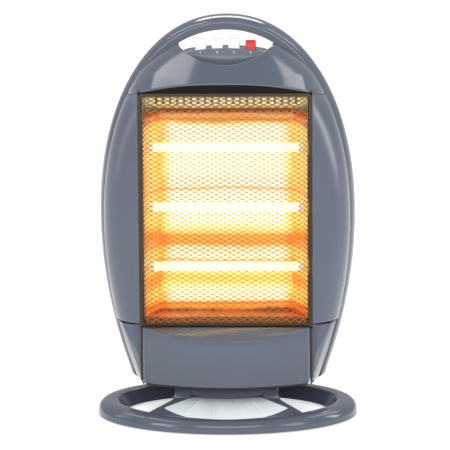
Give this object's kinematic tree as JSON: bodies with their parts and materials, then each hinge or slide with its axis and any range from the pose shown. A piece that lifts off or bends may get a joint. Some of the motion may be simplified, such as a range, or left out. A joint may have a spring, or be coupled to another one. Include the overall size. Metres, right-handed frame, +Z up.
{
  "type": "halogen heater",
  "caption": "Free-standing oscillating halogen heater with an egg-shaped body, arched carrying handle, push buttons, mesh guard over quartz lamps, and an oval ring base.",
  "frame": {"origin": "on the floor under the middle of the oval base", "axes": "+Z up, -Y towards the front with the guard, +X to the right seen from the front"},
  "size_m": [0.316, 0.2232, 0.484],
  "materials": {
    "slate": "glossy blue-grey moulded plastic",
    "pale_insert": "pale silver-grey moulded plastic",
    "black_plastic": "plain black moulded plastic",
    "white_plastic": "white moulded plastic",
    "red_plastic": "red moulded plastic",
    "rubber": "soft black rubber",
    "black_wire": "dark coated expanded steel",
    "mirror_steel": "bright polished reflector sheet",
    "zinc_steel": "zinc-plated sheet steel",
    "quartz": "clear quartz tube",
    "filament": "glowing tungsten",
    "ceramic": "unglazed ceramic, off-white"
  },
  "bodies": {
    "base_unit": {"base_bridge": "slate", "base_ring": "slate", "fan_insert": "pale_insert", "base_cover": "black_plastic", "tip_switch": "black_plastic", "swivel_post": "zinc_steel", "thrust_washer": "white_plastic", "swing_yoke": "zinc_steel", "yoke_nut": "zinc_steel", "rubber_pad_1": "rubber", "rubber_pad_2": "rubber", "rubber_pad_3": "rubber", "rubber_pad_4": "rubber"},
    "heater_body": {"hoop_front": "slate", "rear_housing": "slate", "front_hood": "slate", "side_column_left": "slate", "side_column_right": "slate", "front_apron": "slate", "control_deck": "slate", "lower_cheek_left": "slate", "lower_cheek_right": "slate", "cord_gland": "black_plastic", "switch_bank": "black_plastic", "body_floor": "black_plastic", "terminal_block": "white_plastic", "guard_frame": "black_wire", "mesh_guard": "black_wire", "reflector": "mirror_steel", "reflector_comb": "mirror_steel", "heat_shield": "zinc_steel", "lamp_bracket_left": "zinc_steel", "lamp_bracket_right": "zinc_steel", "swing_motor": "zinc_steel", "thermal_cutout": "zinc_steel", "rear_screw_1": "zinc_steel", "rear_screw_2": "zinc_steel", "rear_screw_3": "zinc_steel", "rear_screw_4": "zinc_steel", "lamp_1": "quartz", "lamp_2": "quartz", "lamp_3": "quartz", "filament_1": "filament", "filament_2": "filament", "filament_3": "filament", "end_cap_left_1": "ceramic", "end_cap_left_2": "ceramic", "end_cap_left_3": "ceramic", "end_cap_right_1": "ceramic", "end_cap_right_2": "ceramic", "end_cap_right_3": "ceramic"},
    "crank": {"crank_arm": "white_plastic"},
    "tip_plunger": {"tip_plunger": "white_plastic"},
    "button_1": {"button_1": "white_plastic"},
    "button_2": {"button_2": "white_plastic"},
    "button_3": {"button_3": "white_plastic"},
    "button_4": {"button_4": "red_plastic"}
  },
  "joints": [
    {"name": "body_swing", "type": "hinge", "parent": "base_unit", "child": "heater_body", "pos_m": [0, 0.012, 0.05], "axis": [0, 0, 1], "range_deg": [-35, 35]},
    {"name": "crank_turn", "type": "hinge", "parent": "heater_body", "child": "crank", "pos_m": [0, 0.042, 0.055], "axis": [0, 0, 1], "range_deg": [-107, 107]},
    {"name": "plunger_drop", "type": "slide", "parent": "base_unit", "child": "tip_plunger", "axis": [0, 0, -1], "range_m": [0, 0.006], "stiffness_N_per_m": 15, "springref_m": 0.008},
    {"name": "press_button_1", "type": "slide", "parent": "heater_body", "child": "button_1", "axis": [0, 0, -1], "range_m": [0, 0.004], "stiffness_N_per_m": 300, "springref_m": -0.002},
    {"name": "press_button_2", "type": "slide", "parent": "heater_body", "child": "button_2", "axis": [0, 0, -1], "range_m": [0, 0.004], "stiffness_N_per_m": 300, "springref_m": -0.002},
    {"name": "press_button_3", "type": "slide", "parent": "heater_body", "child": "button_3", "axis": [0, 0, -1], "range_m": [0, 0.004], "stiffness_N_per_m": 300, "springref_m": -0.002},
    {"name": "press_button_4", "type": "slide", "parent": "heater_body", "child": "button_4", "axis": [0, 0, -1], "range_m": [0, 0.004], "stiffness_N_per_m": 300, "springref_m": -0.002}
  ],
  "couplings": [
    {"joint": "crank_turn", "follows": "body_swing", "ratio": -3.03}
  ]
}
